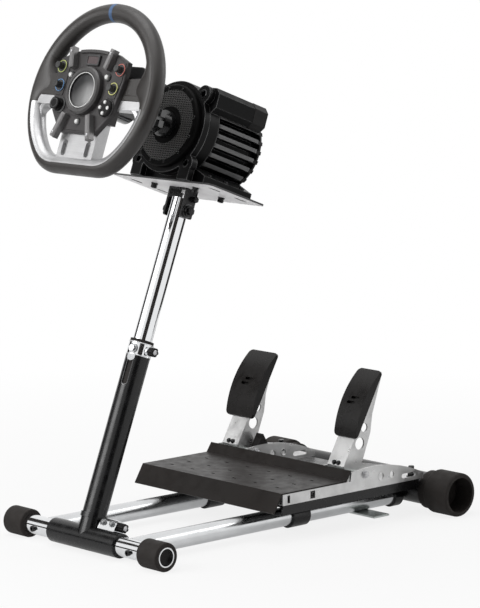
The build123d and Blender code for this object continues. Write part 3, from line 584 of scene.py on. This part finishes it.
button_places = ((-44, 25), (44, 25), (0, -50))
button_collar = [(4.15, 0), (6.4, 0), (6.4, 1.6), (5.6, 2.6), (4.15, 2.6)]
button_collars = Shape()
for x, z in button_places:
    button_collars.lathe(button_collar, face @ move(x, z, hub_front), segments=32)
button_collars.done("button_collars", "knob_black", "wheel", "knob_black")

direction_pad = face @ move(60, -25, hub_front)
dot_reach = 9.0
direction_dot = [(0, 6.4), (3.1, 6.4), (3.1, 7.8), (2.3, 8.8), (0, 9.2)]
direction_dots = Shape()
for x, z in ((0, dot_reach), (0, -dot_reach), (dot_reach, 0), (-dot_reach, 0)):
    direction_dots.lathe(direction_dot, direction_pad @ move(x, z, 0), segments=24)
direction_dots.done("direction_dots", "button_white", "wheel", "button_white")
direction_rim = bead(Shape(), direction_pad, radius=14.2, thick=0.8, height=1.0, segments=48)
direction_rim.done("direction_rim", "bezel_grey", "wheel", "knob_black")

rib_top = hub_front + 11.8
rib_ends = ((48, 61), (42, -72))
rib_screw = [(0, 0), (2.6, 0), (2.5, 0.8), (1.8, 1.3), (1.2, 1.3), (1.1, 0.6), (0, 0.5)]
rib_screws = Shape()
for x, z in rib_ends:
    for side in (-1, 1):
        rib_screws.lathe(rib_screw, face @ move(side * x, z, rib_top), segments=20)
rib_screws.done("rib_screws", "screw_steel", "wheel", "hub_grey")

hub_top, hub_top_rise, hub_top_half = 64.0, 5.0, 52.0
visor_half, visor_inset, visor_width = 34.0, 0.5, 5.5
visor_top = hub_front + 4.5
visor_steps = 16
visor_outer = []
visor_inner = []
for i in range(visor_steps + 1):
    x = visor_half * (2 * i / visor_steps - 1)
    z = hub_top + hub_top_rise * (1 - (x / hub_top_half) ** 2) - visor_inset
    visor_outer.append((x, z))
    visor_inner.append((x, z - visor_width))
hub_visor = Shape().ribbon(visor_outer, visor_inner, hub_sunk, visor_top, face, closed=False)
hub_visor.done("hub_visor", "bezel_grey", "wheel", "hub_grey", bevel=1.2, segments=3)

side_panel = [(56, 59), (78.5, 50), (78.5, 20), (72, -9), (55, -9), (53.5, 16), (53.5, 34)]
lower_panel = [(-25, -64), (25, -64), (20, -41), (-20, -41)]
panel_top = hub_front + 1.4
hub_panels = Shape()
for side in (-1, 1):
    hub_panels.prism(mirrored(side_panel, side), hub_sunk, panel_top, face)
hub_panels.prism(lower_panel, hub_sunk, panel_top, face)
hub_panels.done("hub_panels", "hub_grey", "wheel", "hub_grey", bevel=0.6)

display_level = 51.0
display_frame_top = hub_front + 3.9
display_outside = rounded(width=31, height=18, corner=3)
display_inside = rounded(width=25, height=12, corner=1)
display_frame = Shape()
display_frame.ribbon(display_outside, display_inside, hub_sunk, display_frame_top,
                     face @ move(0, display_level, 0))
display_frame.done("display_frame", "knob_black", "wheel", "hub_grey", bevel=0.6)

joystick = face @ move(-55, -25, hub_front)
joystick_foot = [(10.4, -0.3), (13.6, -0.3), (13.2, 1.5), (10.8, 2.3)]
joystick_ring = bead(Shape(), joystick, radius=7.2, thick=0.9, height=13.0, segments=40)
joystick_ring.lathe(joystick_foot, joystick, segments=40)
joystick_ring.done("joystick_ring", "knob_black", "wheel", "black_plastic")

rim_radius = 136.0
rim_tube = 30.0
trim_inside = rim_radius - rim_tube / 2
end_sunk = -0.5


def rim_ring(side, degrees, bulge, start, stop, proud, steps=44):
    """Points round the rim's tube at this angle up from the middle, with its inner side bulged."""
    up = math.radians(degrees)
    ring = []
    for i in range(steps + 1):
        a = math.radians(start + (stop - start) * i / steps)
        radius = rim_tube / 2 + (end_sunk if i in (0, steps) else proud)
        inner_bulge = bulge if math.cos(a) < 0 else 0.0
        reach = rim_radius + (radius + inner_bulge) * math.cos(a)
        ring.append((side * reach * math.cos(up), reach * math.sin(up), radius * math.sin(a)))
    return ring


mark_half_degrees = 1.6
mark_rings = []
for share in (-1, -0.5, 0, 0.5, 1):
    degrees = 90 + share * mark_half_degrees
    mark_rings.append(rim_ring(1, degrees, bulge=0.0, start=0.0, stop=352.0, proud=0.12))
rim_mark = Shape().loft(mark_rings, face)
rim_mark.done("rim_mark", "mark_blue", "wheel", "rim_grip")

# The grip swells inwards where the side spokes meet it
root_level, root_reach = 14.0, 27.0
root_above, root_below = 48.0, 36.0
root_proud, root_steps = 0.2, 40
grip_roots = Shape()
for side in (-1, 1):
    rings = []
    for i in range(root_steps + 1):
        z = root_level + root_above - (root_above + root_below) * i / root_steps
        share = (z - root_level) / (root_above if z > root_level else root_below)
        bulge = root_reach * math.cos(math.pi / 2 * share) ** 2
        proud = root_proud if 0 < i < root_steps else end_sunk
        degrees = math.degrees(math.asin(z / rim_radius))
        rings.append(rim_ring(side, degrees, bulge, start=66.0, stop=294.0, proud=proud))
    grip_roots.loft(rings, face)
grip_roots.done("grip_roots", "rim_grip", "wheel", "rim_grip")

# Gussets between the side spokes and the silver frame, which thin out towards the rim
spoke_bottom = -22.0
gusset_round, gusset_sunk = 16.0, 9.0
gusset_half_depth, gusset_end_half = 10.4, 3.0
gusset_steps = 16
gusset_z = spoke_bottom - gusset_round
gusset_x = math.sqrt((trim_inside - gusset_round) ** 2 - gusset_z ** 2)
gusset_touch = math.atan2(gusset_z, gusset_x)
trim_corners = Shape()
for side in (-1, 1):
    rings = []
    for i in range(gusset_steps + 1):
        share = i / gusset_steps
        a = gusset_touch + (math.pi / 2 - gusset_touch) * share
        half = gusset_end_half + (gusset_half_depth - gusset_end_half) * math.sin(math.pi / 2 * share)
        ring = []
        for sunk, depth in ((0, half), (gusset_sunk, half), (gusset_sunk, -half), (0, -half)):
            x, z = polar(gusset_round + sunk, a)
            ring.append((side * (gusset_x + x), gusset_z + z, depth))
        rings.append(ring)
    trim_corners.loft(rings, face)
trim_corners.done("trim_corners", "trim_silver", "wheel", "trim_silver", bevel=2.0, segments=3)

sleeve_root, sleeve_tip = 70.0, trim_inside + 3.0
sleeve_bottom, sleeve_top = -9.0, 3.0
sleeve_half_depth = 11.7
sleeve = [(sleeve_root, sleeve_bottom), (sleeve_tip, sleeve_bottom),
          (sleeve_tip, sleeve_top), (sleeve_root, sleeve_top)]
spoke_sleeves = Shape()
for side in (-1, 1):
    spoke_sleeves.prism(mirrored(sleeve, side), -sleeve_half_depth, sleeve_half_depth, face)
spoke_sleeves.done("spoke_sleeves", "rim_grip", "wheel", "rim_grip", bevel=3.0, segments=4)

pocket_width, pocket_length = 12.4, 26.4
pocket_place, pocket_level = 28.0, -91.0
pocket_back, pocket_floor = -6.0, 5.0
pocket = rounded(pocket_width, pocket_length, corner=pocket_width / 2)
spoke_pockets = Shape()
for side in (-1, 1):
    place = face @ move(side * pocket_place, pocket_level, 0)
    spoke_pockets.prism(pocket, pocket_back, pocket_floor, place)
spoke_pockets.done("spoke_pockets", "trim_silver", "wheel", "trim_silver")


# Wheel base

mesh_pitch, mesh_hole = 4.2, 1.65
mesh_inner, mesh_outer = 30.0, 61.0
mesh_floor, mesh_top = 70.1, 71.2


def mesh_cell(shape, cx, cz):
    """One hexagon of the perforated sheet, with its hole."""
    levels = ((mesh_pitch / math.sqrt(3), mesh_top), (mesh_hole, mesh_top), (mesh_hole, mesh_floor))
    rings = []
    for radius, level in levels:
        corners = polygon(6, radius, start=math.pi / 6)
        rings.append([shape.vertex(base_front, cx + x, cz + z, level) for x, z in corners])
    shape.join(rings[0], rings[1])
    shape.join(rings[1], rings[2])


cover_mesh = Shape()
mesh_rows = int(mesh_outer / mesh_pitch) + 2
for row in range(-mesh_rows, mesh_rows + 1):
    for column in range(-mesh_rows, mesh_rows + 1):
        x = (column + (row % 2) / 2) * mesh_pitch
        z = row * mesh_pitch * math.sqrt(3) / 2
        if mesh_inner < math.hypot(x, z) < mesh_outer:
            mesh_cell(cover_mesh, x, z)
cover_mesh.done("cover_mesh", "mesh_black", "head", "black_plastic")

cover_level = 71.6
cover_screws = Shape()
for x, z in polygon(count=12, radius=62.6, start=math.radians(15)):
    socket_head(cover_screws, base_front @ move(x, z, cover_level), diameter=5.0, height=1.6)
cover_screws.done("cover_screws", "black_steel", "head", "black_housing")

lug_x, lug_z, lug_floor = 57.0, 58.0, 50.0
lug_rim = [(5.6, 11.4), (7.6, 11.4), (7.6, 12.6), (7.0, 13.0), (5.6, 13.0)]
lug_bolts = Shape()
for x in (-lug_x, lug_x):
    for z in (-lug_z, lug_z):
        place = base_front @ move(x, z, lug_floor)
        socket_head(lug_bolts, place, diameter=10.0, height=7.0)
        lug_bolts.lathe(lug_rim, place, segments=32)
lug_bolts.done("lug_bolts", "black_steel", "head", "black_housing")

post_x, post_z = 66.0, 52.0
post_rear, post_front = -64.6, -34.0
post = rounded(width=31.2, height=42.2, corner=9.0, steps=1)
post_caps = Shape()
for side in (-1, 1):
    post_caps.prism(post, post_rear, post_front, base_front @ move(side * post_x, post_z, 0))
post_caps.done("post_caps", "black_plastic", "head", "black_housing", bevel=0.8)

foot_bolt_x, foot_bolt_rows, foot_top = 80.0, (-26, 12, 50), -71.2
base_foot_bolts = Shape()
for x in (-foot_bolt_x, foot_bolt_x):
    for y in foot_bolt_rows:
        socket_head(base_foot_bolts, base @ move(x, y, foot_top), diameter=9.0, height=5.0)
base_foot_bolts.done("base_foot_bolts", "black_steel", "head", "black_housing")

rear_cover_level = 79.8
rear_cover_screws = Shape()
for x, z in polygon(count=8, radius=60, start=math.radians(22.5)):
    socket_head(rear_cover_screws, base_rear @ move(x, z, rear_cover_level), diameter=6.0, height=2.4)
rear_cover_screws.done("rear_cover_screws", "black_steel", "head", "black_plastic")


# Plate and tilt clamp

plate_bolt_x, plate_bolt_rows = 50.0, (-21, 39)
plate_nuts = Shape()
for x in (-plate_bolt_x, plate_bolt_x):
    for y in plate_bolt_rows:
        place = head @ move(x, y, plate_height) @ downwards
        hex_head(plate_nuts, place, across=9.0, height=8.0, washer=12.0)
plate_nuts.done("plate_nuts", "black_steel", "head", "black_steel")

cheek_outer, tilt_bolt_end = 22.0, 28.0
clamp_screw_y, clamp_screw_z = 6.0, 21.0
tilt_washer = [(9.2, 0), (11.5, 0), (11.5, 1.2), (9.2, 1.2)]
tilt_clamp_screws = Shape()
tilt_washers = Shape()
for side in (-1, 1):
    bolt_end = head @ move(side * tilt_bolt_end, 0, 0) @ outwards(side)
    hex_head(tilt_clamp_screws, bolt_end, across=11.0, height=4.5)
    tilt_washers.lathe(tilt_washer, head @ move(side * cheek_outer, 0, 0) @ outwards(side), segments=36)
clamp_screw = head @ move(cheek_outer, clamp_screw_y, clamp_screw_z) @ rightwards
hex_head(tilt_clamp_screws, clamp_screw, across=9.0, height=8.0, washer=12.0)
tilt_clamp_screws.done("tilt_clamp_screws", "black_steel", "head", "black_steel")
tilt_washers.done("tilt_washers", "highlight_grey", "head", "black_steel")


# Stem

lower_tube_top, lower_tube_radius = 304.0, 20.0
collar_radius, collar_height = 20.5, 22.0
slot_azimuth = 16.0
tube_top = stem @ move(0, 0, lower_tube_top)
at_slot = tube_top @ turn(slot_azimuth, "Z")


def slot_line(half, straight, steps=10):
    """Down one side of a slot, round its lower end and up the other side."""
    points = [(-half, 0.0)]
    for i in range(steps + 1):
        x, y = polar(half, math.pi * i / steps)
        points.append((-x, -straight - y))
    points.append((half, 0.0))
    return points


slot_straight = 45.5
lip_bottom, lip_top = -0.3, 0.7
guide_bottom, guide_top = -3.2, -1.4
lip_outer = slot_line(half=6.0, straight=slot_straight)
lip_inner = slot_line(half=4.6, straight=slot_straight)
guide = slot_line(half=4.4, straight=slot_straight)
slot_lips = Shape()
slot_guides = Shape()
for half_turn in (0, 180):
    place = at_slot @ turn(half_turn, "Z")
    slot_lips.ribbon(lip_outer, lip_inner, lip_bottom, lip_top, place, lower_tube_radius, closed=False)
    slot_guides.prism(guide, guide_bottom, guide_top, place, lower_tube_radius)
slot_lips.done("slot_lips", "highlight_grey", "stem", "black_steel")
slot_guides.done("slot_guides", "black_rubber", "stem", "black_plastic")

rim_inset = 0.7
collar_rims = Shape()
for level in (rim_inset, collar_height - rim_inset):
    bead(collar_rims, tube_top, collar_radius, thick=0.9, height=level, segments=56)
collar_rims.done("collar_rims", "chrome", "stem", "chrome")

tongue_bottom, tongue_top, tongue_lap = 0.1, 2.0, 1.0
boss_level, boss_front = 10.0, 2.2
boss = [(0, -1), (8.0, -1), (8.0, 1.6), (7.2, 2.4), (0, 2.4)]
tongue = [(x, y + tongue_lap) for x, y in slot_line(half=6.5, straight=5.0)]
collar_tongue = Shape().prism(tongue, tongue_bottom, tongue_top, at_slot, lower_tube_radius)
collar_tongue.lathe(boss, at_slot @ move(0, -collar_radius, boss_level) @ forwards, segments=32)
collar_tongue.done("collar_tongue", "clamp_steel", "stem", "chrome")

collar_bolt = Shape()
boss_end = at_slot @ move(0, -collar_radius - boss_front, boss_level) @ forwards
hex_head(collar_bolt, boss_end, across=8.5, height=4.0)
collar_bolt.done("collar_bolt", "screw_steel", "stem", "chrome")

knob_length, collar_knob_neck = 12.0, 5.0
foot_clamp_x, foot_clamp_half, foot_clamp_turn = 42.5, 20.0, -32.0
foot_lug_front, foot_lug_level = 10.0, 29.0
foot_clamp = world @ move(foot_clamp_x, 0, front_axis) @ turn(foot_clamp_turn, "X")
collar_knob = tube_top @ move(collar_radius + collar_knob_neck + knob_length, 0, collar_height / 2)
foot_knob = foot_clamp @ move(foot_clamp_half + knob_length, 0, foot_lug_level)
knob_face = [(0, -0.4), (4.2, -0.4), (4.2, 0.5), (3.4, 1.0), (0, 1.0)]
knob_faces = Shape()
for place in (collar_knob, foot_knob):
    knob_faces.lathe(knob_face, place @ rightwards, segments=28)
knob_faces.done("knob_faces", "screw_steel", "stem", "black_plastic")

foot_bolt_half = 10.0
foot_clamp_bolts = Shape()
for x in (-foot_bolt_half, foot_bolt_half):
    place = foot_clamp @ move(x, -foot_lug_front, foot_lug_level) @ forwards
    hex_head(foot_clamp_bolts, place, across=7.0, height=4.0, washer=10.5)
foot_clamp_bolts.done("foot_clamp_bolts", "clamp_steel", "stem", "chrome")


# Floor frame

crossbar_bolt_x, crossbar_front, crossbar_bolt_drop = 119.0, 15.6, 2.0
crossbar_bolts = Shape()
for x in (-crossbar_bolt_x, crossbar_bolt_x):
    place = world @ move(x, -crossbar_front, front_axis - crossbar_bolt_drop) @ forwards
    socket_head(crossbar_bolts, place, diameter=10.0, height=5.0)
crossbar_bolts.done("crossbar_bolts", "black_steel", "frame", "black_steel")

wheelbase, rear_axis, rear_foot_end = 631.0, 37.0, 231.8
rear_foot_beads = Shape()
for side in (-1, 1):
    mouth = world @ move(side * rear_foot_end, wheelbase, rear_axis) @ outwards(side)
    bead(rear_foot_beads, mouth, radius=31.6, thick=1.1, height=0.0, segments=72)
rear_foot_beads.done("rear_foot_beads", "black_rubber", "frame", "black_rubber")


# Pedals

bracket_spacing, bracket_half = 264.0, 40.0
bracket_middles = (-bracket_spacing / 2, bracket_spacing / 2)
pivot_y, pivot_z = 461.0, 88.0

pivot_nuts = Shape()
for middle in bracket_middles:
    for side in (-1, 1):
        place = world @ move(middle + side * bracket_half, pivot_y, pivot_z) @ outwards(side)
        hex_head(pivot_nuts, place, across=9.0, height=5.5, washer=14.0)
pivot_nuts.done("pivot_nuts", "screw_steel", "pedal_set", "galvanised")

bracket_holes = ((500, 13), (526, 11))
hole_level, hole_rim = 79.0, 0.5
bracket_hole_rims = Shape()
for middle in bracket_middles:
    for y, diameter in bracket_holes:
        place = world @ move(middle + bracket_half, y, hole_level) @ rightwards
        bead(bracket_hole_rims, place, diameter / 2 + hole_rim, thick=0.6, height=0.1, segments=32)
bracket_hole_rims.done("bracket_hole_rims", "pedal_metal", "pedal_set", "pedal_metal")

tail_x, tail_y, bracket_floor = 160.0, 586.0, 65.0
tail_cap = [(0, 5), (3.2, 5), (3.2, 13), (5.0, 13.4), (5.0, 18.2), (4.2, 19.0), (0, 19.0)]
tail_bolts = Shape()
for x in (-tail_x, tail_x):
    place = world @ move(x, tail_y, bracket_floor)
    hex_head(tail_bolts, place, across=11.0, height=6.0, washer=17.0)
    tail_bolts.lathe(tail_cap, place, segments=24)
tail_bolts.done("tail_bolts", "black_steel", "pedal_set", "black_steel")

rail_x = 103.0
clip_half, clip_y, clip_bolt_level = 12.0, 364.0, 51.0
clip_bolts = Shape()
for x in (-rail_x, rail_x):
    for side in (-1, 1):
        place = world @ move(x + side * clip_half, clip_y, clip_bolt_level) @ outwards(side)
        hex_head(clip_bolts, place, across=8.0, height=4.0)
clip_bolts.done("clip_bolts", "black_steel", "pedal_set", "black_steel")

pedal_lean, arm_front = 29.5, 21.5
arm_bolt_half, arm_bolt_level, arm_slot_level = 5.0, 5.0, 16.0
plug_sunk, plug_proud = -0.2, 0.4
arm_slot = rounded(width=14, height=6, corner=3)
arm_offsets = {"brake": -8.0, "throttle": -11.0}
for (name, offset), middle in zip(arm_offsets.items(), bracket_middles):
    pivot = world @ move(middle + offset, pivot_y, pivot_z)
    web = pivot @ turn(-pedal_lean, "X") @ move(0, -arm_front, 0)
    plug = Shape()
    plug.prism(arm_slot, plug_sunk, plug_proud, web @ move(0, 0, arm_slot_level) @ forwards)
    plug.done(name + "_arm_plug", "pedal_metal", name, "pedal_metal")
    bolts = Shape()
    for bolt_x in (-arm_bolt_half, arm_bolt_half):
        place = web @ move(bolt_x, 0, arm_bolt_level) @ forwards
        hex_head(bolts, place, across=5.5, height=3.5, washer=8.5)
    bolts.done(name + "_arm_bolts", "black_steel", name, "black_steel")


# Camera, light and floor, in metres

def look(obj, spot, target):
    obj.location = spot
    obj.rotation_euler = (Vector(target) - Vector(spot)).to_track_quat("-Z", "Y").to_euler()


# The photo's camera, with its focal length in the photo's pixels
sensor, photo_height, focal_pixels = 36.0, 608.0, 2870.0
camera = add("camera", bpy.data.cameras.new("camera"))
camera.data.sensor_width = sensor
camera.data.lens = focal_pixels * sensor / photo_height
camera.data.clip_end = 100.0
eye = world @ Vector((3.475, -2.909, 1.063))
aim = world @ Vector((0.128, 0.216, 0.396))
look(camera, eye, aim)
bpy.context.scene.camera = camera


def area_light(name, spot, target, size, power):
    lamp = bpy.data.lights.new(name, "AREA")
    lamp.shape = "RECTANGLE"
    lamp.size, lamp.size_y = size
    lamp.energy = power
    look(add(name, lamp), spot, target)


def around(degrees, distance, height):
    """A place round the stand. 0 is on the driver's side, 90 on the driver's right."""
    a = math.radians(degrees)
    return (distance * math.sin(a), -distance * math.cos(a), height)


area_light("key", around(degrees=-18, distance=3.0, height=1.7),
           target=(0, 0, 0.5), size=(2.0, 1.7), power=58)
area_light("top", (-0.3, -0.5, 3.4),
           target=(0, 0, 0.4), size=(2.4, 2.4), power=46)
area_light("rim", around(degrees=150, distance=3.2, height=2.0),
           target=(0, 0, 0.6), size=(1.0, 1.6), power=16)


def sheet(name, corners, material):
    """A flat stage piece with these four corners."""
    mesh = bpy.data.meshes.new(name)
    mesh.from_pydata(corners, [], [(0, 1, 2, 3)])
    mesh.materials.append(material)
    return add(name, mesh)


def flag(name, degrees, distance, width, top):
    """A dark studio panel on the floor that shows only in gloss, for dark bands in chrome and paint."""
    half = width / 2
    corners = [(-half, 0, 0), (half, 0, 0), (half, 0, top), (-half, 0, top)]
    obj = sheet(name, corners, finishes["black_rubber"])
    obj.location = around(degrees, distance, 0)
    obj.rotation_euler = (0, 0, math.radians(degrees))
    for ray in ("camera", "diffuse", "transmission", "volume_scatter", "shadow"):
        setattr(obj, "visible_" + ray, False)


flag("flag_right", degrees=170, distance=1.2, width=1.2, top=0.5)
flag("flag_camera", degrees=57, distance=3.0, width=2.2, top=2.8)
flag("flag_left", degrees=-68, distance=2.8, width=1.4, top=2.6)
flag("flag_low", degrees=-20, distance=2.4, width=2.6, top=0.42)


def seen_white(tree):
    """1 for rays that show the surroundings: from the camera, off gloss and through glass."""
    path = tree.nodes.new("ShaderNodeLightPath")
    value = path.outputs["Is Camera Ray"]
    for name in ("Is Glossy Ray", "Is Transmission Ray"):
        node = tree.nodes.new("ShaderNodeMath")
        node.operation = "MAXIMUM"
        tree.links.new(value, node.inputs[0])
        tree.links.new(path.outputs[name], node.inputs[1])
        value = node.outputs[0]
    return value


def studio_sky():
    """White where it is seen, and a dim even light on the stand."""
    sky = bpy.data.worlds.new("sky")
    sky.use_nodes = True
    tree = sky.node_tree
    ambient = tree.nodes["Background"]
    white = tree.nodes.new("ShaderNodeBackground")
    for background, strength in ((ambient, 0.22), (white, 1.0)):
        background.inputs["Color"].default_value = (1, 1, 1, 1)
        background.inputs["Strength"].default_value = strength
    mixed = tree.nodes.new("ShaderNodeMixShader")
    tree.links.new(seen_white(tree), mixed.inputs[0])
    tree.links.new(ambient.outputs[0], mixed.inputs[1])
    tree.links.new(white.outputs[0], mixed.inputs[2])
    tree.links.new(mixed.outputs[0], tree.nodes["World Output"].inputs["Surface"])
    return sky


bpy.context.scene.world = studio_sky()


def floor_material():
    """Pale floor, white where it is seen far out, with the stand's shadow and a dimmer gloss near it."""
    n = Nodes("pale_floor")
    n.set(Base_Color=(0.86, 0.86, 0.86, 1), Roughness=0.9)
    near, far = 0.4, 1.6
    camera_white, gloss_white = 0.84, 0.4
    away = n.tree.nodes.new("ShaderNodeVectorMath")
    away.operation = "LENGTH"
    n.link(n.coords, away.inputs[0])
    outside = n.span(away.outputs["Value"], near, far)
    gloss = n.tree.nodes.new("ShaderNodeLightPath").outputs["Is Glossy Ray"]
    least = n.span(gloss, 0.0, 1.0, camera_white, gloss_white)
    share = n.math("ADD", least, n.product(outside, n.math("SUBTRACT", 1.0, least)))
    glow = n.tree.nodes.new("ShaderNodeEmission")
    mixed = n.tree.nodes.new("ShaderNodeMixShader")
    n.link(n.product(seen_white(n.tree), share), mixed.inputs[0])
    n.link(n.shader.outputs[0], mixed.inputs[1])
    n.link(glow.outputs[0], mixed.inputs[2])
    n.link(mixed.outputs[0], n.tree.nodes["Material Output"].inputs["Surface"])
    return n.mat


floor_half, floor_sunk = 12.0, 0.0005
floor_corners = [(floor_half * x, floor_half * y, 0) for x, y in ((-1, -1), (1, -1), (1, 1), (-1, 1))]
floor = sheet("floor", floor_corners, floor_material())
floor.location.z = -floor_sunk

bpy.context.scene.view_settings.view_transform = "Standard"
